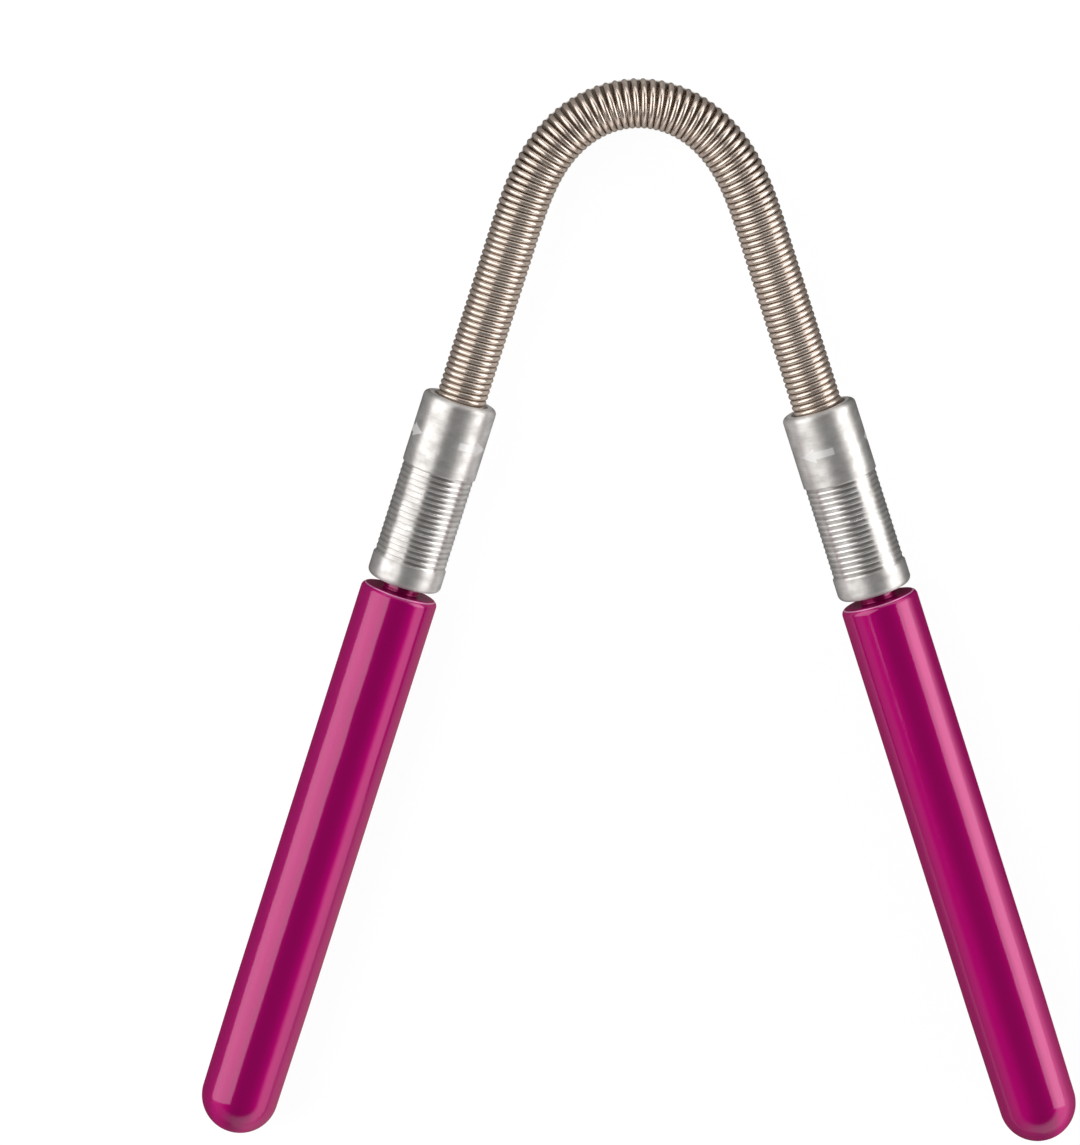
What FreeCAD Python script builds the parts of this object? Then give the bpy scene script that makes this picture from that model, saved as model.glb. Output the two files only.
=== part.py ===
"""Facial hair removal spring: a close-wound coil, bent into an arch, between two turned grips.

Millimetres, with X to the right, Y towards the arch and Z up. The tool lies flat, its two
handles on Z = 0, and the middle of its outline is at X = 0, Y = 0.
"""

import FreeCAD, Part

import math
import os

# Coil spring
wire_diameter = 0.66
turn_gap = 0.02  # between neighbouring turns, where the coil is closed
coil_diameter = 5.75  # over the wire
leg_splay = 17.45  # degrees between each leg and the tool's middle line
bend_reach = 22.2  # length of coil that bends, on each side of the apex
left_coil_length = 42.4  # from the apex to the left ferrule's mouth, along the coil
right_coil_length = 43.4
coil_seat = 4.0  # length of coil inside each ferrule
steps_per_turn = 10
wire_sides = 4

# Ferrules
ferrule_diameter = 8.65
upper_band_length = 8.9
lower_band_length = 2.25
groove_count = 17
groove_pitch = 0.65
groove_depth = 0.12
crest_diameter = 8.4
mouth_chamfer = 0.3
mouth_rounding = 0.6
foot_rounding = 0.8

# Handles
handle_diameter = 9.0
handle_length = 66.1
rim_rounding = 0.7
tip_diameter = 8.8
taper_length = 12.0
neck_diameter = 4.1
neck_gap = 1.04  # bare neck between the ferrule and the handle's rim
neck_seat = 5.0  # length of neck inside the ferrule

# Fits
bore_clearance = 0.05  # round the coil and round the neck
floor_clearance = 0.05  # under the coil's end and over the neck's end

# Sizes that follow from those above
coil_mean_radius = (coil_diameter - wire_diameter) / 2
turn_pitch = wire_diameter + turn_gap
bend_each_side = math.radians(90 - leg_splay)
ferrule_length = upper_band_length + groove_count * groove_pitch + lower_band_length
handle_radius = handle_diameter / 2
tip_radius = tip_diameter / 2


def heading(distance):
    """Turn of the coil's middle line since the apex, in radians.

    It grows as a sine, so the bend is tightest at the apex and fades out at bend_reach.
    """
    run = max(-bend_reach, min(bend_reach, distance))
    return bend_each_side * math.sin(math.pi / 2 * run / bend_reach)


def coil_line(distance, longest_run=0.25):
    """Point of the middle line at a distance from the apex, right of it where positive."""
    count = max(1, math.ceil(abs(distance) / longest_run))
    run = distance / count
    headings = [heading((i + 0.5) * run) for i in range(count)]
    x = run * sum(math.cos(h) for h in headings)
    y = -run * sum(math.sin(h) for h in headings)
    return FreeCAD.Vector(x, y, handle_radius)


def turn_angle(distance):
    """Angle of the wire round the middle line, with the turns closed inside the bend."""
    return 2 * math.pi / turn_pitch * (distance - coil_mean_radius * heading(distance))


def distance_at(angle):
    """Distance from the apex at which the wire has turned by an angle, by halving."""
    low, high = -left_coil_length - coil_seat, right_coil_length + coil_seat
    while high - low > 1e-7:
        middle = (low + high) / 2
        if turn_angle(middle) < angle:
            low = middle
        else:
            high = middle
    return (low + high) / 2


def wire_section(distance, angle):
    """Corners of the wire's section, one of them at the outside of the coil."""
    turn = heading(distance)
    along = FreeCAD.Vector(math.cos(turn), -math.sin(turn), 0)
    outwards = FreeCAD.Vector(math.sin(turn), math.cos(turn), 0)
    up = FreeCAD.Vector(0, 0, 1)
    radial = outwards * math.cos(angle) + up * math.sin(angle)
    centre = coil_line(distance) + radial * coil_mean_radius
    corners = []
    for i in range(wire_sides):
        way = 2 * math.pi * i / wire_sides
        offset = radial * math.cos(way) + along * math.sin(way)
        corners.append(centre + offset * (wire_diameter / 2))
    return corners


def closed_skin(sections):
    """Solid with flat facets through a row of sections, with a cap on each end."""
    sides = len(sections[0])
    facets = []
    for k in range(len(sections) - 1):
        for j in range(sides):
            near, beside = k * sides + j, k * sides + (j + 1) % sides
            facets.append((near, beside, beside + sides))
            facets.append((near, beside + sides, near + sides))
    last = (len(sections) - 1) * sides
    for j in range(1, sides - 1):
        facets.append((0, j + 1, j))
        facets.append((last, last + j, last + j + 1))
    skin = Part.Shape()
    skin.makeShapeFromMesh(([p for section in sections for p in section], facets), 1e-4, True)
    solid = Part.Solid(skin.Shells[0])
    if solid.Volume < 0:
        solid.reverse()
    return solid


def coil_spring():
    """The whole spring: one wire, right-hand wound, with its inside strand at the apex."""
    step = 2 * math.pi / steps_per_turn
    end_inset = wire_diameter / 2
    first = turn_angle(-left_coil_length - coil_seat + end_inset)
    last = turn_angle(right_coil_length + coil_seat - end_inset)
    sections = []
    for k in range(math.ceil(first / step), math.floor(last / step) + 1):
        distance = distance_at(k * step)
        sections.append(wire_section(distance, k * step + math.pi))
    return closed_skin(sections)


def rounded_corner(before, corner, after, radius):
    """Start, middle and end of the arc that rounds a corner of a profile."""
    back = (before - corner).normalize()
    ahead = (after - corner).normalize()
    half = back.getAngle(ahead) / 2
    reach = radius / math.tan(half)
    inwards = (back + ahead).normalize()
    middle = corner + inwards * (radius / math.sin(half) - radius)
    return corner + back * reach, middle, corner + ahead * reach


def turned(corners):
    """Solid turned about Z from corners given as (radius, height, rounding)."""
    points = [FreeCAD.Vector(radius, 0, height) for radius, height, rounding in corners]
    edges = []
    ends = []
    for i, (radius, height, rounding) in enumerate(corners):
        after = points[(i + 1) % len(points)]
        if rounding:
            start, middle, end = rounded_corner(points[i - 1], points[i], after, rounding)
            edges.append(Part.Arc(start, middle, end).toShape())
            ends.append((start, end))
        else:
            ends.append((points[i], points[i]))
    for i, (start, end) in enumerate(ends):
        next_start = ends[(i + 1) % len(ends)][0]
        if end.distanceToPoint(next_start) > 1e-6:
            edges.append(Part.makeLine(end, next_start))
    face = Part.Face(Part.Wire(Part.__sortEdges__(edges)))
    return face.revolve(FreeCAD.Vector(), FreeCAD.Vector(0, 0, 1), 360)


def ferrule():
    """Ferrule about Z, its mouth for the coil at 0 and its foot at ferrule_length."""
    outside = ferrule_diameter / 2
    crest = crest_diameter / 2
    coil_bore = coil_diameter / 2 + bore_clearance
    coil_floor = coil_seat + floor_clearance
    neck_bore = neck_diameter / 2 + bore_clearance
    neck_floor = ferrule_length - neck_seat - floor_clearance
    corners = [
        (0, coil_floor, 0),
        (coil_bore, coil_floor, 0),
        (coil_bore, mouth_chamfer, 0),
        (coil_bore + mouth_chamfer, 0, 0),
        (outside, 0, mouth_rounding),
        (outside, upper_band_length, 0),
    ]
    for i in range(groove_count):
        start = upper_band_length + i * groove_pitch
        corners.append((crest - groove_depth, start + groove_pitch / 2, 0))
        if i < groove_count - 1:
            corners.append((crest, start + groove_pitch, 0))
    corners += [
        (outside, ferrule_length - lower_band_length, 0),
        (outside, ferrule_length, foot_rounding),
        (neck_bore, ferrule_length, 0),
        (neck_bore, neck_floor, 0),
        (0, neck_floor, 0),
    ]
    return turned(corners)


def handle():
    """Handle about Z, its rim at 0, its neck below 0 and its domed tip at handle_length."""
    neck = neck_diameter / 2
    neck_end = -neck_gap - neck_seat
    dome_start = handle_length - tip_radius
    body = turned(
        [
            (0, neck_end, 0),
            (neck, neck_end, 0),
            (neck, 0, 0),
            (handle_radius, 0, rim_rounding),
            (handle_radius, dome_start - taper_length, 0),
            (tip_radius, dome_start, 0),
            (0, dome_start, 0),
        ]
    )
    dome_base = FreeCAD.Vector(0, 0, dome_start)
    dome = Part.makeSphere(tip_radius, dome_base, FreeCAD.Vector(0, 0, 1), 0, 90, 360)
    return body.fuse(dome).removeSplitter()


def leg_direction(side):
    """Way from the arch to the tip along a leg, on the right where side is 1."""
    splay = math.radians(leg_splay)
    return FreeCAD.Vector(side * math.sin(splay), -math.cos(splay), 0)


def on_leg(shape, side, coil_length, distance):
    """A turned piece moved from Z to a leg, at a distance past the ferrule's mouth."""
    direction = leg_direction(side)
    base = coil_line(side * coil_length) + direction * distance
    turn = FreeCAD.Rotation(FreeCAD.Vector(0, 0, 1), direction)
    placed = shape.copy()
    placed.Placement = FreeCAD.Placement(base, turn)
    return placed


def dome_centre(side, coil_length):
    """Centre of a handle's domed tip."""
    distance = ferrule_length + neck_gap + handle_length - tip_radius
    return coil_line(side * coil_length) + leg_direction(side) * distance


def outline_middle():
    """Middle of the tool's outline in X and Y, from its tips and its apex."""
    left = dome_centre(-1, left_coil_length)
    right = dome_centre(1, right_coil_length)
    top = coil_diameter / 2
    bottom = min(left.y, right.y) - tip_radius
    return FreeCAD.Vector((left.x + right.x) / 2, (top + bottom) / 2, 0)


def main():
    legs = {"left": (-1, left_coil_length), "right": (1, right_coil_length)}
    pieces = {"coil_spring": coil_spring()}
    for name, (side, coil_length) in legs.items():
        rim = ferrule_length + neck_gap
        pieces[name + "_ferrule"] = on_leg(ferrule(), side, coil_length, 0)
        pieces[name + "_handle"] = on_leg(handle(), side, coil_length, rim)
    os.makedirs("parts", exist_ok=True)
    for name, shape in pieces.items():
        shape.translate(-outline_middle())
        shape.exportStep("parts/" + name + ".step")


main()
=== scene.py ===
"""Looks of the facial hair removal spring: its wire coil, turned ferrules and lacquered handles.

Lengths are in millimetres, unless a comment says otherwise, and turned to metres where a mesh is
made. The tool lies flat on the floor, and the camera looks down on it through a long lens.
"""

import math

import bpy
import numpy as np
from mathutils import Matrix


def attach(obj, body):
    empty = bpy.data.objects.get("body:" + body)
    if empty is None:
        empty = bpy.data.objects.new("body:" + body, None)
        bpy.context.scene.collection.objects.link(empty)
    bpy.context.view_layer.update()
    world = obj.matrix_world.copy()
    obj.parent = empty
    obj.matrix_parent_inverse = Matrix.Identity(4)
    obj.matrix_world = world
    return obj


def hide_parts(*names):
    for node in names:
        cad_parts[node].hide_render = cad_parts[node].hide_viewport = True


MM = 0.001

# Coil spring
WIRE_DIAMETER = 0.66
TURN_GAP = 0.02
COIL_DIAMETER = 5.75
LEG_SPLAY = math.radians(17.45)
BEND_REACH = 22.2
LEFT_COIL_LENGTH = 42.4
RIGHT_COIL_LENGTH = 43.4
COIL_SEAT = 4.0
COIL_MEAN_RADIUS = (COIL_DIAMETER - WIRE_DIAMETER) / 2
TURN_PITCH = WIRE_DIAMETER + TURN_GAP
LINE_POINTS = 4001  # on the coil's middle line
COIL_STEPS = 40  # along the wire in one turn
WIRE_SIDES = 12  # round the wire
WIRE_CREASE = math.radians(50)  # past this angle an edge stays sharp

# Ferrules
FERRULE_RADIUS = 8.65 / 2
CREST_RADIUS = 8.4 / 2
UPPER_BAND = 8.5
LOWER_BAND = 2.75
GROOVE_COUNT = 17
GROOVE_PITCH = 0.65
GROOVE_DEPTH = 0.07
CREST_SHARE = 0.28  # of a pitch, from a crest to the flat of the groove
GROOVE_STEPS = 20  # of the profile in one pitch
MOUTH_CHAMFER = 0.3
MOUTH_ROUNDING = 0.6
FOOT_ROUNDING = 0.8
BAND_EDGE_DROP = 0.05  # of the bands' edges beside the grooves
BAND_EDGE_RUN = 0.06
BORE_CLEARANCE = 0.05
FERRULE_LENGTH = UPPER_BAND + GROOVE_COUNT * GROOVE_PITCH + LOWER_BAND

# Handles
HANDLE_RADIUS = 4.5
HANDLE_LENGTH = 66.1
RIM_ROUNDING = 0.7
TIP_RADIUS = 4.4
TAPER_LENGTH = 12.0
NECK_RADIUS = 2.05
NECK_GAP = 0.94
NECK_SEAT = 5.0
NECK_FILLET = 0.12
DOME_END = 86  # degrees from the foot of the dome to its last ring
RIM_LINE = 0.1  # height of the painted highlight line on the rim

# Turned surfaces
TURNED_SIDES = 112
TURNED_CREASE = math.radians(28)
AXIS_GAP = 0.4  # radius of the last ring before an end that closes on the axis
WALL_END = 0.03  # length of the short step at each end of a straight wall

# Arrow marks on the ferrules' upper bands
ARROW_COUNT = 3
ARROW_LENGTH = 4.3
ARROW_HEAD = 2.0
ARROW_HALF_BAR = 0.42
ARROW_HALF_HEAD = 0.85
ARROW_HEIGHT = 4.6  # from the ferrule's mouth to the arrows' middle line
LEFT_ARROW_TIP = 5.5  # along the surface, from the top of the ferrule to the right
RIGHT_ARROW_TIP = -3.9

# Shares and differences in the materials, between nothing and one
RING_SHARE = 0.25  # of tool rings in the brushed pattern, the rest being smears
GRIP_POLISH = 0.17  # by which the grip rings are less rough than the bands
FLAKE_STRENGTH, FLAKE_LEVEL = 0.35, 0.32  # of the flakes in the lacquer's tone
SEEN_SHARE = 0.55  # of the paper's glow that the camera sees

# Camera, light and floor
IMAGE_WIDTH = 1080
MM_PER_PIXEL = 0.11436
CAMERA_TILT = math.radians(10.0)  # from straight above towards the arch
CAMERA_DISTANCE = 2.0  # metres
LOOK_AT = (-11.36, 4.6, 4.5)  # what lies behind the middle of the image
LIT_POINT = (0.0, -15.0, 4.5)  # what the softboxes face
ROOM_GLOW = -33.0  # azimuth in degrees at which the room's horizon is brightest
FLOOR_HALF = 3.0  # metres
SHADE_HALF = 2.86  # half the breadth of the painted shadow under the coil
SHADE_SHIFT = (0.03, -0.69, 0.0)  # from under the coil, as most light comes from behind the arch
SHADE_LIFT = 0.02  # above the floor
SHADE_SIDE_FADE = 0.08  # shares of its half breadth and half length over which it fades
SHADE_END_FADE = 0.2

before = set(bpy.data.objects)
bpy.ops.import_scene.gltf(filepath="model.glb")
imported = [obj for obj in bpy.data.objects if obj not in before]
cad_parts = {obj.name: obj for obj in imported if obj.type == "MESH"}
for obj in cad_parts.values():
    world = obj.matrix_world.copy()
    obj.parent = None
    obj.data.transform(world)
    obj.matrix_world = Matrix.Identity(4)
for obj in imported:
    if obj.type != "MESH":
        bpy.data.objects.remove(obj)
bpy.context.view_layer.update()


def heading(distance):
    """Turn of the coil's middle line since the apex.

    It grows as a quarter sine up to BEND_REACH, where it comes to a right angle less LEG_SPLAY.
    """
    run = np.clip(distance, -BEND_REACH, BEND_REACH)
    return (np.pi / 2 - LEG_SPLAY) * np.sin(np.pi / 2 * run / BEND_REACH)


def middle_line():
    """The coil's middle line as arrays: distance from the apex, x and y.

    x adds up the cosines of the heading, y adds up its sines downwards, from the left end to the
    right one, and both are shifted so that the apex is at nothing.
    """
    start = -LEFT_COIL_LENGTH - COIL_SEAT
    end = RIGHT_COIL_LENGTH + COIL_SEAT
    distance = np.linspace(start, end, LINE_POINTS)
    turn = heading((distance[1:] + distance[:-1]) / 2)
    step = np.diff(distance)
    x = np.concatenate(([0.0], np.cumsum(np.cos(turn) * step)))
    y = np.concatenate(([0.0], np.cumsum(-np.sin(turn) * step)))
    return distance, x - np.interp(0.0, distance, x), y - np.interp(0.0, distance, y)


LINE_DISTANCE, LINE_X, LINE_Y = middle_line()


def leg_direction(side):
    """Unit vector from the arch to a handle's tip, on the right where side is 1."""
    return np.array([side * math.sin(LEG_SPLAY), -math.cos(LEG_SPLAY), 0.0])


def mouth(side):
    """Middle of a ferrule's mouth, before the outline is centred."""
    distance = side * (RIGHT_COIL_LENGTH if side > 0 else LEFT_COIL_LENGTH)
    x = np.interp(distance, LINE_DISTANCE, LINE_X)
    y = np.interp(distance, LINE_DISTANCE, LINE_Y)
    return np.array([x, y, HANDLE_RADIUS])


def outline_middle():
    """Middle of the tool's outline, from its two tips and its apex."""
    reach = FERRULE_LENGTH + NECK_GAP + HANDLE_LENGTH - TIP_RADIUS
    left = mouth(-1) + leg_direction(-1) * reach
    right = mouth(1) + leg_direction(1) * reach
    low = min(left[1], right[1]) - TIP_RADIUS
    return np.array([(left[0] + right[0]) / 2, (COIL_DIAMETER / 2 + low) / 2, 0.0])


MIDDLE = outline_middle()


def build_mesh(name, points, quads, triangles, uv_quads, uv_triangles, sharp_angle):
    """Mesh from arrays: points in millimetres, faces as rows of point numbers, UVs per corner."""
    mesh = bpy.data.meshes.new(name)
    corners = np.concatenate([triangles.ravel(), quads.ravel()]).astype(np.int32)
    totals = np.concatenate([np.full(len(triangles), 3), np.full(len(quads), 4)])
    starts = np.concatenate([[0], np.cumsum(totals)[:-1]]).astype(np.int32)
    mesh.vertices.add(len(points))
    mesh.vertices.foreach_set("co", (points * MM).astype(np.float32).ravel())
    mesh.loops.add(len(corners))
    mesh.loops.foreach_set("vertex_index", corners)
    mesh.polygons.add(len(starts))
    mesh.polygons.foreach_set("loop_start", starts)
    mesh.polygons.foreach_set("use_smooth", np.ones(len(starts), dtype=bool))
    mesh.update(calc_edges=True)
    mesh.validate()
    layer = mesh.uv_layers.new(name="surface_mm")
    uv = np.concatenate([uv_triangles.reshape(-1, 2), uv_quads.reshape(-1, 2)])
    layer.data.foreach_set("uv", uv.astype(np.float32).ravel())
    mesh.set_sharp_from_angle(angle=sharp_angle)
    piece = bpy.data.objects.new(name, mesh)
    bpy.context.scene.collection.objects.link(piece)
    return piece


def ring_faces(rows, columns):
    """Quads of a grid of rows and columns whose columns close into a ring."""
    row, column = np.meshgrid(np.arange(rows - 1), np.arange(columns), indexing="ij")
    after = (column + 1) % columns
    near, far = row * columns, (row + 1) * columns
    quads = np.stack([near + column, near + after, far + after, far + column], axis=-1)
    return quads.reshape(-1, 4), row.ravel(), column.ravel()


def closed_grid(name, grid, start_point, end_point, u, v, sharp_angle):
    """Closed surface over a grid of rings, with a fan from a point at each end.

    grid[i, j] is point j of ring i. u runs round the rings, with one more value than points, and
    v runs along the rows, both in millimetres, so that patterns keep their size on the surface.
    """
    rows, columns = grid.shape[:2]
    quads, row, column = ring_faces(rows, columns)
    corner_rows = np.stack([row, row, row + 1, row + 1], axis=-1)
    corner_columns = np.stack([column, column + 1, column + 1, column], axis=-1)
    uv_quads = np.stack([u[corner_columns], v[corner_rows]], axis=-1)
    first, last = rows * columns, rows * columns + 1
    ring = np.arange(columns)
    after = (ring + 1) % columns
    end_ring = (rows - 1) * columns
    caps = np.concatenate(
        [
            np.stack([np.full(columns, first), after, ring], axis=-1),
            np.stack([np.full(columns, last), end_ring + ring, end_ring + after], axis=-1),
        ]
    )
    cap_u = np.concatenate(
        [
            np.stack([u[ring], u[ring + 1], u[ring]], axis=-1),
            np.stack([u[ring], u[ring], u[ring + 1]], axis=-1),
        ]
    )
    cap_v = np.repeat([v[0], v[-1]], columns)[:, None] * np.ones(3)
    points = np.concatenate([grid.reshape(-1, 3), [start_point, end_point]])
    uv_caps = np.stack([cap_u, cap_v], axis=-1)
    return build_mesh(name, points, quads, caps, uv_quads, uv_caps, sharp_angle)


def coil_piece():
    """The whole spring as one round wire.

    The wire turns evenly round the middle line at COIL_MEAN_RADIUS. Its angle is the distance,
    less what the bend shortens the inside of the coil, over the pitch, so that the turns touch
    inside the bend and fan out on its outside. A circle of the wire's radius is carried along.
    """
    turns = 2 * np.pi / TURN_PITCH
    angle_of_line = turns * (LINE_DISTANCE - COIL_MEAN_RADIUS * heading(LINE_DISTANCE))
    inset = turns * WIRE_DIAMETER / 2
    whole_angle = angle_of_line[-1] - angle_of_line[0] - 2 * inset
    count = int(whole_angle / (2 * np.pi) * COIL_STEPS)
    wound = np.linspace(angle_of_line[0] + inset, angle_of_line[-1] - inset, count)
    distance = np.interp(wound, angle_of_line, LINE_DISTANCE)
    angle = wound + np.pi
    turn = heading(distance)
    flat = np.zeros_like(distance)
    outwards = np.stack([np.sin(turn), np.cos(turn), flat], axis=-1)
    up = np.array([0.0, 0.0, 1.0])
    centre = np.stack(
        [
            np.interp(distance, LINE_DISTANCE, LINE_X),
            np.interp(distance, LINE_DISTANCE, LINE_Y),
            flat + HANDLE_RADIUS,
        ],
        axis=-1,
    )
    radial = outwards * np.cos(angle)[:, None] + up * np.sin(angle)[:, None]
    wire = centre + radial * COIL_MEAN_RADIUS
    along = np.gradient(wire, axis=0)
    along /= np.linalg.norm(along, axis=1, keepdims=True)
    beside = np.cross(along, radial)
    beside /= np.linalg.norm(beside, axis=1, keepdims=True)
    upright = np.cross(beside, along)
    way = np.linspace(0, 2 * np.pi, WIRE_SIDES, endpoint=False)
    ring = (
        upright[:, None, :] * np.cos(way)[None, :, None]
        + beside[:, None, :] * np.sin(way)[None, :, None]
    )
    grid = wire[:, None, :] + ring * WIRE_DIAMETER / 2 - MIDDLE
    length = np.concatenate([[0.0], np.cumsum(np.linalg.norm(np.diff(wire, axis=0), axis=1))])
    round_wire = np.linspace(0, np.pi * WIRE_DIAMETER, WIRE_SIDES + 1)
    ends = wire[[0, -1]] - MIDDLE
    return closed_grid("spring_wire", grid, ends[0], ends[1], round_wire, length, WIRE_CREASE)


def arc_points(centre, radius, from_degrees, to_degrees, count):
    """Points (radius, height) on an arc of a profile, angles measured from the radius axis."""
    angle = np.radians(np.linspace(from_degrees, to_degrees, count))
    from_centre = radius * np.stack([np.cos(angle), np.sin(angle)], axis=-1)
    return np.array(centre) + from_centre


def straight(start, end, count=2):
    """Evenly spaced points (radius, height) on a straight run of a profile."""
    return np.linspace(start, end, count)


def wall(start, end, count):
    """Straight run between roundings, with a short step at each end so that it shades as flat."""
    start, end = np.array(start), np.array(end)
    short = WALL_END / np.linalg.norm(end - start)
    share = np.concatenate([[0, short], np.linspace(0, 1, count)[1:-1], [1 - short, 1]])
    return start + (end - start) * share[:, None]


def ferrule_profile():
    """Ferrule from the floor of its spring bore, round its outside, to the floor of its neck bore.

    The grip rings are round crests GROOVE_PITCH apart. From a crest the surface dips as half a
    cosine wave, GROOVE_DEPTH deep, to the flat bottom of the groove.
    """
    bore = COIL_DIAMETER / 2 + BORE_CLEARANCE
    floor = COIL_SEAT + BORE_CLEARANCE
    neck_bore = NECK_RADIUS + BORE_CLEARANCE
    neck_floor = FERRULE_LENGTH - NECK_SEAT - BORE_CLEARANCE
    grip = np.linspace(0, GROOVE_COUNT, GROOVE_COUNT * GROOVE_STEPS + 1)
    from_crest = 0.5 - np.abs(grip % 1 - 0.5)
    dip = 0.5 - 0.5 * np.cos(np.pi * np.minimum(from_crest / CREST_SHARE, 1))
    grip_radius = CREST_RADIUS - GROOVE_DEPTH * dip
    grip_rings = np.stack([grip_radius, UPPER_BAND + grip * GROOVE_PITCH], axis=-1)
    shoulder = FERRULE_RADIUS - MOUTH_ROUNDING
    heel = FERRULE_RADIUS - FOOT_ROUNDING
    foot = FERRULE_LENGTH - FOOT_ROUNDING
    edge_radius = FERRULE_RADIUS - BAND_EDGE_DROP
    upper_edge = UPPER_BAND - BAND_EDGE_RUN
    lower_edge = FERRULE_LENGTH - LOWER_BAND + BAND_EDGE_RUN
    parts = [
        straight((AXIS_GAP, floor), (bore, floor), 4),
        straight((bore, floor), (bore, MOUTH_CHAMFER), 6)[1:],
        wall((bore + MOUTH_CHAMFER, 0), (shoulder, 0), 3),
        arc_points((shoulder, MOUTH_ROUNDING), MOUTH_ROUNDING, -90, 0, 14)[1:],
        wall((FERRULE_RADIUS, MOUTH_ROUNDING), (FERRULE_RADIUS, upper_edge), 12)[1:],
        straight((edge_radius, UPPER_BAND), (CREST_RADIUS, UPPER_BAND)),
        grip_rings[1:],
        straight((edge_radius, FERRULE_LENGTH - LOWER_BAND), (FERRULE_RADIUS, lower_edge)),
        wall((FERRULE_RADIUS, lower_edge), (FERRULE_RADIUS, foot), 5)[1:],
        arc_points((heel, foot), FOOT_ROUNDING, 0, 90, 16)[1:],
        wall((heel, FERRULE_LENGTH), (neck_bore, FERRULE_LENGTH), 3)[1:],
        straight((neck_bore, FERRULE_LENGTH), (neck_bore, neck_floor), 5)[1:],
        straight((neck_bore, neck_floor), (AXIS_GAP, neck_floor), 3)[1:],
    ]
    return np.concatenate(parts)


def handle_profile():
    """Handle from the end of its neck, over the rim and down to the pole of the domed tip."""
    neck_end = -NECK_GAP - NECK_SEAT
    dome = HANDLE_LENGTH - TIP_RADIUS
    rim = HANDLE_RADIUS - RIM_ROUNDING
    root = NECK_RADIUS + NECK_FILLET
    parts = [
        straight((AXIS_GAP, neck_end), (NECK_RADIUS, neck_end), 3),
        wall((NECK_RADIUS, neck_end), (NECK_RADIUS, -NECK_FILLET), 8)[1:],
        arc_points((root, -NECK_FILLET), NECK_FILLET, 180, 90, 5)[1:],
        wall((root, 0), (rim, 0), 4)[1:],
        arc_points((rim, RIM_ROUNDING), RIM_ROUNDING, -90, 0, 18)[1:],
        wall((HANDLE_RADIUS, RIM_ROUNDING), (HANDLE_RADIUS, dome - TAPER_LENGTH), 24)[1:],
        straight((HANDLE_RADIUS, dome - TAPER_LENGTH), (TIP_RADIUS, dome), 8)[1:],
        arc_points((0, dome), TIP_RADIUS, 0, DOME_END, 36)[1:],
    ]
    return np.concatenate(parts)


def turned_piece(name, profile, pole, side, start):
    """Surface of revolution about a leg's axis, closed on the axis at the height of its pole.

    A point is the leg's mouth plus (start + height) along the leg, plus the radius times
    (cosine of the angle across the leg to the right, plus sine of the angle upwards).
    """
    along = leg_direction(side)
    up = np.array([0.0, 0.0, 1.0])
    across = np.cross(along, up)
    across *= np.sign(across[0])
    base = mouth(side) + along * start - MIDDLE
    angle = np.linspace(-np.pi / 2, 3 * np.pi / 2, TURNED_SIDES, endpoint=False)
    if np.dot(np.cross(across, up), along) < 0:
        angle = angle[::-1]  # so that the faces look outwards
    ray = across * np.cos(angle)[:, None] + up * np.sin(angle)[:, None]
    radius, height = profile[:, 0], profile[:, 1]
    grid = base + along * height[:, None, None] + ray[None, :, :] * radius[:, None, None]
    from_top = np.pi / 2 - np.concatenate([angle, [2 * angle[-1] - angle[-2]]])
    u = from_top * radius.max()
    first, last = base + along * height[0], base + along * pole
    return closed_grid(name, grid, first, last, u, height, TURNED_CREASE)


def linear(hex_colour):
    """sRGB hex to the linear colour that the shaders take."""
    value = hex_colour.lstrip("#")
    channels = [int(value[i : i + 2], 16) / 255 for i in (0, 2, 4)]
    return [c / 12.92 if c <= 0.04045 else ((c + 0.055) / 1.055) ** 2.4 for c in channels] + [1.0]


def add(tree, kind, inputs=None, **settings):
    """Adds a node, with its settings, input values and links from output sockets."""
    node = tree.nodes.new(kind)
    for key, value in settings.items():
        setattr(node, key, value)
    for key, value in (inputs or {}).items():
        if isinstance(value, bpy.types.NodeSocket):
            tree.links.new(value, node.inputs[key])
        else:
            node.inputs[key].default_value = value
    return node


def new_material(name):
    """Empty node material with its output, as (material, tree, output)."""
    material = bpy.data.materials.new(name)
    material.use_nodes = True
    tree = material.node_tree
    tree.nodes.clear()
    return material, tree, add(tree, "ShaderNodeOutputMaterial")


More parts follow.
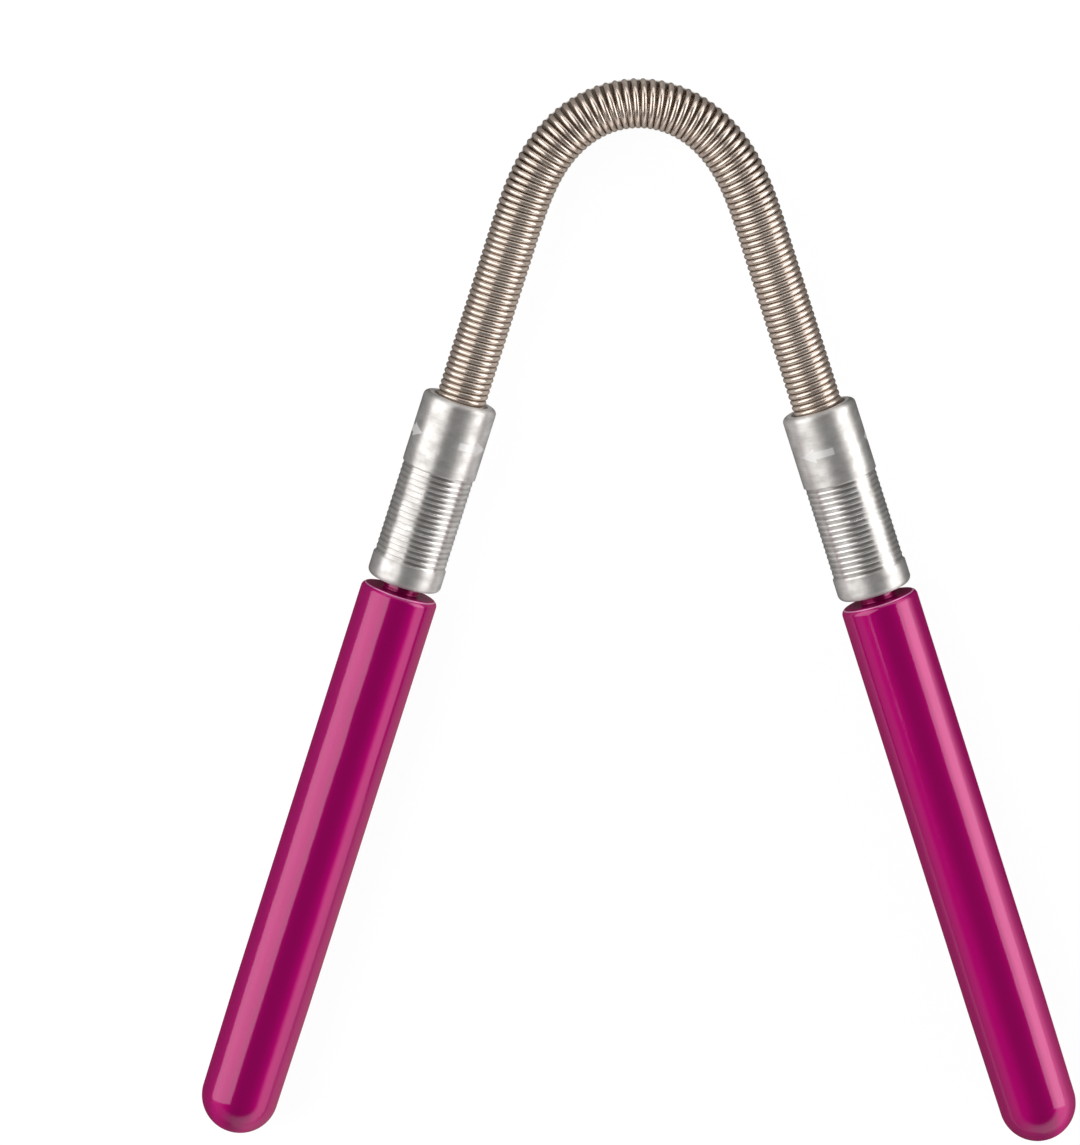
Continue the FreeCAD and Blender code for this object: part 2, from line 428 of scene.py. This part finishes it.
def spring_steel():
    """Drawn spring steel, nickel plated: warm bright metal with drawing streaks along the wire.

    It gives the eye narrow warm highlights on each turn, which the streaks soften, and slow
    patches of lighter and darker plating.
    """
    material, tree, output = new_material("drawn_spring_steel")
    uv = add(tree, "ShaderNodeUVMap", uv_map="surface_mm")
    # Real streaks are near 0.01 mm, below a pixel, so they are drawn 0.11 mm wide and 3 mm long
    along_wire = add(
        tree, "ShaderNodeMapping", {"Vector": uv.outputs["UV"], "Scale": (9.0, 0.35, 1.0)}
    )
    streaks = add(
        tree,
        "ShaderNodeTexNoise",
        {"Vector": along_wire.outputs["Vector"], "Scale": 1.0, "Detail": 4.0, "Roughness": 0.6},
    )
    # The plating's tone drifts over about 4.5 mm of wire
    patches = add(
        tree,
        "ShaderNodeTexNoise",
        {"Vector": uv.outputs["UV"], "Scale": 0.22, "Detail": 2.0},
    )
    tone = add(
        tree,
        "ShaderNodeMix",
        {"Factor": patches.outputs["Fac"], "A": linear("#CBBBAF"), "B": linear("#DDCFC3")},
        data_type="RGBA",
    )
    rough = add(
        tree,
        "ShaderNodeMapRange",
        {
            "Value": streaks.outputs["Fac"],
            "From Min": 0.3,
            "From Max": 0.7,
            "To Min": 0.2,
            "To Max": 0.29,
        },
    )
    bump = add(
        tree,
        "ShaderNodeBump",
        {"Height": streaks.outputs["Fac"], "Strength": 0.12, "Distance": 0.00002},
    )
    shader = add(
        tree,
        "ShaderNodeBsdfPrincipled",
        {
            "Base Color": tone.outputs["Result"],
            "Specular Tint": linear("#A89C92"),
            "Metallic": 0.8,
            "Roughness": rough.outputs["Result"],
            "Normal": bump.outputs["Normal"],
        },
    )
    tree.links.new(shader.outputs["BSDF"], output.inputs["Surface"])
    return material


def arrow_mask(tree, uv, tip, pointing):
    """One where an arrow mark is, else nothing.

    The distance back from an arrow's tip repeats round the ferrule, ARROW_COUNT times. The mark
    is a head that widens evenly from the tip to ARROW_HALF_HEAD, then a bar of ARROW_HALF_BAR.
    """
    apart = 2 * math.pi * FERRULE_RADIUS / ARROW_COUNT
    laps = 40 * apart  # whole repeats, which keep the distance above nothing
    parts = add(tree, "ShaderNodeSeparateXYZ", {"Vector": uv})
    back = add(
        tree,
        "ShaderNodeMath",
        {0: parts.outputs["X"], 1: -float(pointing), 2: pointing * tip + laps},
        operation="MULTIPLY_ADD",
    )
    behind_tip = add(
        tree, "ShaderNodeMath", {0: back.outputs["Value"], 1: apart}, operation="MODULO"
    )
    height = add(
        tree, "ShaderNodeMath", {0: parts.outputs["Y"], 1: ARROW_HEIGHT}, operation="SUBTRACT"
    )
    off_line = add(tree, "ShaderNodeMath", {0: height.outputs["Value"]}, operation="ABSOLUTE")
    head_edge = add(
        tree,
        "ShaderNodeMath",
        {0: behind_tip.outputs["Value"], 1: ARROW_HALF_HEAD / ARROW_HEAD},
        operation="MULTIPLY",
    )
    in_head = add(
        tree,
        "ShaderNodeMath",
        {0: behind_tip.outputs["Value"], 1: ARROW_HEAD},
        operation="LESS_THAN",
    )
    half_width = add(
        tree,
        "ShaderNodeMix",
        {"Factor": in_head.outputs["Value"], "A": ARROW_HALF_BAR, "B": head_edge.outputs["Value"]},
    )
    within = add(
        tree,
        "ShaderNodeMath",
        {0: off_line.outputs["Value"], 1: half_width.outputs["Result"]},
        operation="LESS_THAN",
    )
    not_past = add(
        tree,
        "ShaderNodeMath",
        {0: behind_tip.outputs["Value"], 1: ARROW_LENGTH},
        operation="LESS_THAN",
    )
    return add(
        tree,
        "ShaderNodeMath",
        {0: within.outputs["Value"], 1: not_past.outputs["Value"]},
        operation="MULTIPLY",
    ).outputs["Value"]


def turned_aluminium(name, arrow_tip, arrow_pointing):
    """Turned aluminium, brushed smooth, with painted shade in its grooves and pale etched arrows.

    Its highlights are broad along the axis and crisp across it, because it was polished as it
    turned. Hands leave cloudy smears, and the arrows are etched, so they are duller and paler.
    """
    material, tree, output = new_material(name)
    uv = add(tree, "ShaderNodeUVMap", uv_map="surface_mm")
    mask = arrow_mask(tree, uv.outputs["UV"], arrow_tip, arrow_pointing)
    # Real tool rings are near 0.03 mm apart, below a pixel, so they are drawn 0.14 mm apart
    ring_scale = add(
        tree, "ShaderNodeMapping", {"Vector": uv.outputs["UV"], "Scale": (0.02, 7.0, 1.0)}
    )
    rings = add(
        tree,
        "ShaderNodeTexNoise",
        {"Vector": ring_scale.outputs["Vector"], "Scale": 1.0, "Detail": 5.0, "Roughness": 0.65},
    )
    across = add(tree, "ShaderNodeTangent", direction_type="UV_MAP", uv_map="surface_mm")
    # Smears are about 2.5 mm round the ferrule and 1.7 mm along it
    smear_scale = add(
        tree, "ShaderNodeMapping", {"Vector": uv.outputs["UV"], "Scale": (0.4, 0.6, 1.0)}
    )
    smears = add(
        tree,
        "ShaderNodeTexNoise",
        {"Vector": smear_scale.outputs["Vector"], "Scale": 1.0, "Detail": 4.0, "Roughness": 0.55},
    )
    brushed = add(
        tree,
        "ShaderNodeMix",
        {"Factor": RING_SHARE, "A": smears.outputs["Fac"], "B": rings.outputs["Fac"]},
    )
    patchy = add(
        tree,
        "ShaderNodeMapRange",
        {"Value": brushed.outputs["Result"], "From Min": 0.35, "From Max": 0.65},
    )
    tone = add(
        tree,
        "ShaderNodeMix",
        {"Factor": patchy.outputs["Result"], "A": linear("#C2BEBA"), "B": linear("#EAE7E4")},
        data_type="RGBA",
    )
    height = add(tree, "ShaderNodeSeparateXYZ", {"Vector": uv.outputs["UV"]})
    grip_middle = UPPER_BAND + GROOVE_COUNT * GROOVE_PITCH / 2
    from_grip = add(
        tree, "ShaderNodeMath", {0: height.outputs["Y"], 1: grip_middle}, operation="SUBTRACT"
    )
    off_grip = add(tree, "ShaderNodeMath", {0: from_grip.outputs["Value"]}, operation="ABSOLUTE")
    in_grip = add(
        tree,
        "ShaderNodeMath",
        {0: off_grip.outputs["Value"], 1: GROOVE_COUNT * GROOVE_PITCH / 2},
        operation="LESS_THAN",
    )
    # Painted shade: the bottoms of the grip's grooves are darkened towards #6A625C
    turn_of_groove = add(
        tree,
        "ShaderNodeMath",
        {0: height.outputs["Y"], 1: 1 / GROOVE_PITCH, 2: -UPPER_BAND / GROOVE_PITCH},
        operation="MULTIPLY_ADD",
    )
    depth_in_groove = add(
        tree, "ShaderNodeMath", {0: turn_of_groove.outputs["Value"], 1: 0.5}, operation="PINGPONG"
    )
    groove_shade_ramp = add(
        tree,
        "ShaderNodeMapRange",
        {
            "Value": depth_in_groove.outputs["Value"],
            "From Min": 0.2,
            "From Max": 0.4,
            "To Max": 0.36,
        },
        interpolation_type="SMOOTHSTEP",
    )
    painted_groove_shade = add(
        tree,
        "ShaderNodeMath",
        {0: groove_shade_ramp.outputs["Result"], 1: in_grip.outputs["Value"]},
        operation="MULTIPLY",
    )
    grooved = add(
        tree,
        "ShaderNodeMix",
        {
            "Factor": painted_groove_shade.outputs["Value"],
            "A": tone.outputs["Result"],
            "B": linear("#6A625C"),
        },
        data_type="RGBA",
    )
    marked = add(
        tree,
        "ShaderNodeMix",
        {"Factor": mask, "A": grooved.outputs["Result"], "B": linear("#F0EEEC")},
        data_type="RGBA",
    )
    polish = add(
        tree,
        "ShaderNodeMapRange",
        {
            "Value": brushed.outputs["Result"],
            "From Min": 0.35,
            "From Max": 0.65,
            "To Min": 0.52,
            "To Max": 0.43,
        },
    )
    finish = add(
        tree,
        "ShaderNodeMath",
        {0: in_grip.outputs["Value"], 1: -GRIP_POLISH, 2: polish.outputs["Result"]},
        operation="MULTIPLY_ADD",
    )
    rough = add(tree, "ShaderNodeMix", {"Factor": mask, "A": finish.outputs["Value"], "B": 0.5})
    metal = add(tree, "ShaderNodeMix", {"Factor": mask, "A": 0.82, "B": 0.5})
    bump = add(
        tree,
        "ShaderNodeBump",
        {"Height": brushed.outputs["Result"], "Strength": 0.5, "Distance": 0.0001},
    )
    shader = add(
        tree,
        "ShaderNodeBsdfPrincipled",
        {
            "Base Color": marked.outputs["Result"],
            "Specular Tint": linear("#ACACAC"),
            "Metallic": metal.outputs["Result"],
            "Roughness": rough.outputs["Result"],
            "Anisotropic": 0.84,
            "Anisotropic Rotation": 0.25,
            "Normal": bump.outputs["Normal"],
            "Tangent": across.outputs["Tangent"],
        },
    )
    tree.links.new(shader.outputs["BSDF"], output.inputs["Surface"])
    return material


def magenta_lacquer():
    """Candy lacquer, sprayed on turned aluminium: a tinted metal glow under a clear glossy coat.

    The metal under the tint blurs what it mirrors into broad soft bands, and the clear coat adds
    sharp pale reflections of the lamps on top. The neck carries painted shade as a deeper tone,
    and the rim a painted highlight line.
    """
    material, tree, output = new_material("magenta_candy_lacquer")
    place = add(tree, "ShaderNodeTexCoord")
    across = add(tree, "ShaderNodeTangent", direction_type="UV_MAP", uv_map="surface_mm")
    # Real flakes are near 0.03 mm, below a pixel, so they are drawn near 0.2 mm
    flakes = add(
        tree,
        "ShaderNodeTexNoise",
        {"Vector": place.outputs["Object"], "Scale": 5000.0, "Detail": 2.0},
    )
    # The coat's depth drifts over about 8 mm
    depth = add(
        tree,
        "ShaderNodeTexNoise",
        {"Vector": place.outputs["Object"], "Scale": 120.0, "Detail": 3.0},
    )
    speckled = add(
        tree,
        "ShaderNodeMath",
        {0: flakes.outputs["Fac"], 1: FLAKE_STRENGTH, 2: FLAKE_LEVEL},
        operation="MULTIPLY_ADD",
    )
    tone = add(
        tree,
        "ShaderNodeMix",
        {"Factor": speckled.outputs["Value"], "A": linear("#AE006A"), "B": linear("#BA0072")},
        data_type="RGBA",
    )
    rough = add(
        tree,
        "ShaderNodeMapRange",
        {
            "Value": depth.outputs["Fac"],
            "From Min": 0.3,
            "From Max": 0.7,
            "To Min": 0.49,
            "To Max": 0.54,
        },
    )
    # Painted shade: the neck and the face that it grows from get a darker tone and more metal, so
    # that they look nearly black
    uv = add(tree, "ShaderNodeUVMap", uv_map="surface_mm")
    height = add(tree, "ShaderNodeSeparateXYZ", {"Vector": uv.outputs["UV"]})
    neck_painted_shade = add(
        tree,
        "ShaderNodeMapRange",
        {
            "Value": height.outputs["Y"],
            "From Min": 0.02,
            "From Max": 0.1,
            "To Min": 1.0,
            "To Max": 0.0,
        },
    )
    neck_shaded = add(
        tree,
        "ShaderNodeMix",
        {"Factor": neck_painted_shade.outputs["Result"], "A": tone.outputs["Result"], "B": linear("#A80066")},
        data_type="RGBA",
    )
    # Painted highlight: a thin pale line runs round the rim
    off_rim = add(
        tree, "ShaderNodeMath", {0: height.outputs["Y"], 1: RIM_LINE}, operation="SUBTRACT"
    )
    off_line = add(tree, "ShaderNodeMath", {0: off_rim.outputs["Value"]}, operation="ABSOLUTE")
    rim_painted_highlight = add(
        tree,
        "ShaderNodeMapRange",
        {
            "Value": off_line.outputs["Value"],
            "From Min": 0.03,
            "From Max": 0.06,
            "To Min": 0.8,
            "To Max": 0.0,
        },
    )
    rim_highlighted = add(
        tree,
        "ShaderNodeMix",
        {
            "Factor": rim_painted_highlight.outputs["Result"],
            "A": neck_shaded.outputs["Result"],
            "B": linear("#F4B4DA"),
        },
        data_type="RGBA",
    )
    metal = add(
        tree, "ShaderNodeMix", {"Factor": neck_painted_shade.outputs["Result"], "A": 0.48, "B": 0.75}
    )
    # Sprayed lacquer is never quite even: shallow waves some 5 mm long bend what it mirrors
    waves = add(
        tree,
        "ShaderNodeTexNoise",
        {"Vector": place.outputs["Object"], "Scale": 190.0, "Detail": 1.0},
    )
    uneven = add(
        tree,
        "ShaderNodeBump",
        {"Height": waves.outputs["Fac"], "Strength": 0.5, "Distance": 0.0001},
    )
    shader = add(
        tree,
        "ShaderNodeBsdfPrincipled",
        {
            "Base Color": rim_highlighted.outputs["Result"],
            "Metallic": metal.outputs["Result"],
            "Roughness": rough.outputs["Result"],
            "Specular IOR Level": 0.0,
            "Specular Tint": linear("#C00074"),
            "Anisotropic": 0.88,
            "Anisotropic Rotation": 0.25,
            "Normal": uneven.outputs["Normal"],
            "Tangent": across.outputs["Tangent"],
            "Coat Normal": uneven.outputs["Normal"],
            "Coat Weight": 0.21,
            "Coat Roughness": 0.1,
            "Coat IOR": 2.6,
        },
    )
    tree.links.new(shader.outputs["BSDF"], output.inputs["Surface"])
    return material


def painted_light_in_metal(tree, place):
    """Painted light: share of the paper's glow that metal and glass show, as it changes from place
    to place.

    It is the larger of two painted pools of light: one between the legs, painted where the light
    of both softboxes would meet, most of all on the left, and one by the foot of the right
    softbox. A place is between the legs where its distance sideways from the tool's middle line,
    plus its Y times the tangent of LEG_SPLAY, is small. These lengths are in metres.
    """
    where = add(tree, "ShaderNodeSeparateXYZ", {"Vector": place})
    sideways = add(tree, "ShaderNodeMath", {0: where.outputs["X"]}, operation="ABSOLUTE")
    from_middle = add(
        tree,
        "ShaderNodeMath",
        {0: where.outputs["Y"], 1: math.tan(LEG_SPLAY), 2: sideways.outputs["Value"]},
        operation="MULTIPLY_ADD",
    )
    between = add(
        tree,
        "ShaderNodeMapRange",
        {
            "Value": from_middle.outputs["Value"],
            "From Min": 0.03,
            "From Max": 0.018,
            "To Min": 0.03,
            "To Max": 0.55,
        },
    )
    leftwards = add(
        tree,
        "ShaderNodeMapRange",
        {
            "Value": where.outputs["X"],
            "From Min": -0.028,
            "From Max": 0.022,
            "To Min": 1.0,
            "To Max": 0.2,
        },
    )
    painted_light_between_legs = add(
        tree,
        "ShaderNodeMath",
        {0: between.outputs["Result"], 1: leftwards.outputs["Result"]},
        operation="MULTIPLY",
    )
    painted_light_by_softbox = add(
        tree,
        "ShaderNodeMapRange",
        {
            "Value": where.outputs["X"],
            "From Min": 0.045,
            "From Max": 0.085,
            "To Min": 0.0,
            "To Max": 0.9,
        },
    )
    return add(
        tree,
        "ShaderNodeMath",
        {0: painted_light_between_legs.outputs["Value"], 1: painted_light_by_softbox.outputs["Result"]},
        operation="MAXIMUM",
    ).outputs["Value"]


def seamless_paper():
    """White seamless paper with a fine grain.

    It glows white to the camera, and in part to metal and glass, most of all in painted pools of
    light between the legs and by the right softbox, over a matt grey that takes the object's soft
    shadow and sends little light back up. Under the bend it has a painted shadow: it doesn't glow,
    and its tone is darker, so that the gaps between the turns show dark.
    """
    material, tree, output = new_material("white_seamless_paper")
    path = add(tree, "ShaderNodeLightPath")
    place = add(tree, "ShaderNodeTexCoord")
    # The grain is about 2.5 mm, as coarse as shows at this scale
    grain = add(
        tree,
        "ShaderNodeTexNoise",
        {"Vector": place.outputs["Object"], "Scale": 400.0, "Detail": 2.0},
    )
    tone = add(
        tree,
        "ShaderNodeMix",
        {"Factor": grain.outputs["Fac"], "A": linear("#808080"), "B": linear("#888888")},
        data_type="RGBA",
    )
    shade = add(tree, "ShaderNodeAttribute", attribute_name="coil_shade")
    # Painted shadow: where coil_shade is one, under the bend, the tone is darkened towards #625850
    # and the glow is taken away
    shaded_tone = add(
        tree,
        "ShaderNodeMix",
        {"Factor": shade.outputs["Fac"], "A": tone.outputs["Result"], "B": linear("#625850")},
        data_type="RGBA",
    )
    lit = add(tree, "ShaderNodeBsdfDiffuse", {"Color": shaded_tone.outputs["Result"]})
    glow = add(tree, "ShaderNodeEmission", {"Color": linear("#FFFFFF"), "Strength": 1.72})
    mirrored = add(
        tree,
        "ShaderNodeMath",
        {0: path.outputs["Is Glossy Ray"], 1: path.outputs["Is Transmission Ray"]},
        operation="MAXIMUM",
    )
    # Painted light: metal and glass see the paper glow in painted pools, chosen by place
    mirrored_painted_light = add(
        tree,
        "ShaderNodeMath",
        {0: mirrored.outputs["Value"], 1: painted_light_in_metal(tree, place.outputs["Object"])},
        operation="MULTIPLY",
    )
    seen = add(
        tree,
        "ShaderNodeMath",
        {0: path.outputs["Is Camera Ray"], 1: SEEN_SHARE, 2: mirrored_painted_light.outputs["Value"]},
        operation="MULTIPLY_ADD",
    )
    open_paper = add(
        tree, "ShaderNodeMath", {0: 1.0, 1: shade.outputs["Fac"]}, operation="SUBTRACT"
    )
    glowing = add(
        tree,
        "ShaderNodeMath",
        {0: seen.outputs["Value"], 1: open_paper.outputs["Value"]},
        operation="MULTIPLY",
    )
    shown = add(
        tree,
        "ShaderNodeMixShader",
        {0: glowing.outputs["Value"], 1: lit.outputs["BSDF"], 2: glow.outputs["Emission"]},
    )
    tree.links.new(shown.outputs["Shader"], output.inputs["Surface"])
    return material


def place_camera():
    """Camera above the tool, tilted towards the arch, with the photograph's scale at LOOK_AT."""
    data = bpy.data.cameras.new("long_lens")
    data.sensor_fit = "HORIZONTAL"
    data.sensor_width = 36.0
    data.lens = data.sensor_width * CAMERA_DISTANCE / (IMAGE_WIDTH * MM_PER_PIXEL * MM)
    data.clip_end = 10.0  # metres
    camera = bpy.data.objects.new("long_lens", data)
    away = np.array([0.0, math.sin(CAMERA_TILT), math.cos(CAMERA_TILT)])
    camera.location = np.array(LOOK_AT) * MM + away * CAMERA_DISTANCE
    camera.rotation_euler = (-CAMERA_TILT, 0.0, 0.0)
    bpy.context.scene.collection.objects.link(camera)
    bpy.context.scene.camera = camera


def softbox(name, azimuth, top, half_breadth, distance, radiance):
    """Rectangular soft light that faces LIT_POINT, from a distance in metres.

    Seen from there it spans the elevations from the horizon to its top and half_breadth to each
    side of its azimuth, all in degrees. Radiance is what a mirror shows of it, where 1 is white.
    """
    azimuth, elevation = math.radians(azimuth), math.radians(top / 2)
    data = bpy.data.lights.new(name, "AREA")
    data.shape = "RECTANGLE"
    data.size = 2 * distance * math.tan(math.radians(half_breadth))
    data.size_y = 2 * distance * math.tan(math.radians(top) / 2)
    data.energy = math.pi * radiance * data.size * data.size_y
    light = bpy.data.objects.new(name, data)
    level = math.cos(elevation)
    way = np.array([level * math.cos(azimuth), level * math.sin(azimuth), math.sin(elevation)])
    light.location = np.array(LIT_POINT) * MM + way * distance
    light.rotation_euler = (math.pi / 2 - elevation, 0.0, azimuth + math.pi / 2)
    bpy.context.scene.collection.objects.link(light)


def studio_room():
    """Dim room round the tool: dark overhead, bright at the horizon, most so at the right front.

    The horizon's brightness is a smooth step over the cosine between a direction and ROOM_GLOW.
    Upwards it gives way to the dark ceiling as a smooth step over the direction's height.
    """
    world = bpy.data.worlds.new("studio_room")
    world.use_nodes = True
    tree = world.node_tree
    way = add(tree, "ShaderNodeTexCoord").outputs["Generated"]
    azimuth = math.radians(ROOM_GLOW)
    near_glow = add(
        tree,
        "ShaderNodeVectorMath",
        {0: way, 1: (math.cos(azimuth), math.sin(azimuth), 0.0)},
        operation="DOT_PRODUCT",
    )
    horizon = add(
        tree,
        "ShaderNodeMapRange",
        {"Value": near_glow.outputs["Value"], "From Min": -0.3, "To Min": 0.36, "To Max": 1.42},
        interpolation_type="SMOOTHSTEP",
    )
    parts = add(tree, "ShaderNodeSeparateXYZ", {"Vector": way})
    overhead = add(
        tree,
        "ShaderNodeMapRange",
        {"Value": parts.outputs["Z"], "From Min": 0.38, "From Max": 0.62},
        interpolation_type="SMOOTHSTEP",
    )
    brightness = add(
        tree,
        "ShaderNodeMix",
        {"Factor": overhead.outputs["Result"], "A": horizon.outputs["Result"], "B": 0.05},
    )
    background = tree.nodes["Background"]
    background.inputs["Color"].default_value = linear("#FFFFFF")
    tree.links.new(brightness.outputs["Result"], background.inputs["Strength"])
    bpy.context.scene.world = world


def light_studio():
    """A softbox on each side, a little behind the tool, and a low panel behind its arch."""
    softbox("left_softbox", azimuth=163, top=64, half_breadth=33, distance=0.6, radiance=2.2)
    softbox("right_softbox", azimuth=14, top=41, half_breadth=24, distance=0.6, radiance=2.4)
    softbox("back_panel", azimuth=79, top=26, half_breadth=30, distance=0.7, radiance=1.3)
    studio_room()


def shaded_strip():
    """Strip of paper with a painted shadow of the bend, which shows between its fanned turns.

    It is the bend's middle line, laid on the floor with SHADE_SHIFT added, and is SHADE_HALF wide
    on each side. Its attribute is one in the middle and falls to nothing at its edges and ends as
    a smooth step, so that there it is the same as the open paper.
    """
    every = 20  # points of the middle line
    in_bend = np.flatnonzero(np.abs(LINE_DISTANCE) < BEND_REACH)[::every]
    distance = LINE_DISTANCE[in_bend]
    flat = np.zeros_like(distance)
    axis = np.stack([LINE_X[in_bend], LINE_Y[in_bend], flat], axis=-1) - MIDDLE
    laid = axis + np.array(SHADE_SHIFT)
    turn = heading(distance)
    outwards = np.stack([np.sin(turn), np.cos(turn), flat], axis=-1)
    across = np.linspace(-1, 1, 51)
    grid = laid[:, None, :] + outwards[:, None, :] * across[None, :, None] * SHADE_HALF
    grid[..., 2] = SHADE_LIFT
    rows, columns = grid.shape[:2]
    row, column = np.meshgrid(np.arange(rows - 1), np.arange(columns - 1), indexing="ij")
    near = (row * columns + column).ravel()
    quads = np.stack([near, near + columns, near + columns + 1, near + 1], axis=-1)
    mesh = bpy.data.meshes.new("paper_under_coil")
    mesh.from_pydata((grid.reshape(-1, 3) * MM).tolist(), [], quads.tolist())
    from_side = np.clip((1 - np.abs(across)) / SHADE_SIDE_FADE, 0, 1)
    from_end = np.clip((1 - np.abs(distance) / BEND_REACH) / SHADE_END_FADE, 0, 1)
    inwards = from_side[None, :] * from_end[:, None]
    shade = inwards * inwards * (3 - 2 * inwards)
    layer = mesh.attributes.new("coil_shade", "FLOAT", "POINT")
    layer.data.foreach_set("value", shade.astype(np.float32).ravel())
    return mesh


def lay_floor():
    """Flat white floor under the tool, with a strip of painted shadow under the coil."""
    half = FLOOR_HALF
    open_paper = bpy.data.meshes.new("floor")
    corners = [(-half, -half, 0), (half, -half, 0), (half, half, 0), (-half, half, 0)]
    open_paper.from_pydata(corners, [], [(0, 1, 2, 3)])
    paper = seamless_paper()
    for mesh in (open_paper, shaded_strip()):
        mesh.materials.append(paper)
        piece = bpy.data.objects.new(mesh.name, mesh)
        bpy.context.scene.collection.objects.link(piece)


def dress():
    """Replaces each solid by its finely made surface, in its material."""
    steel = spring_steel()
    lacquer = magenta_lacquer()
    bored, domed = ferrule_profile(), handle_profile()
    rim = FERRULE_LENGTH + NECK_GAP
    dressed = [(coil_piece(), "coil_spring", "spring_steel", steel)]
    for word, side, tip, pointing in (
        ("left", -1, LEFT_ARROW_TIP, 1),
        ("right", 1, RIGHT_ARROW_TIP, -1),
    ):
        metal = turned_aluminium("turned_aluminium_" + word, tip, pointing)
        sleeve = turned_piece(word + "_ferrule_turned", bored, bored[-1, 1], side, 0.0)
        grip = turned_piece(word + "_handle_turned", domed, HANDLE_LENGTH, side, rim)
        dressed.append((sleeve, word + "_ferrule", "turned_aluminium", metal))
        dressed.append((grip, word + "_handle", "magenta_lacquer", lacquer))
    for piece, node, slot, material in dressed:
        piece.data.materials.append(material)
        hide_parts(node)
        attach(piece, "root")


place_camera()
dress()
lay_floor()
light_studio()
bpy.context.scene.view_settings.view_transform = "Standard"
bpy.context.view_layer.update()
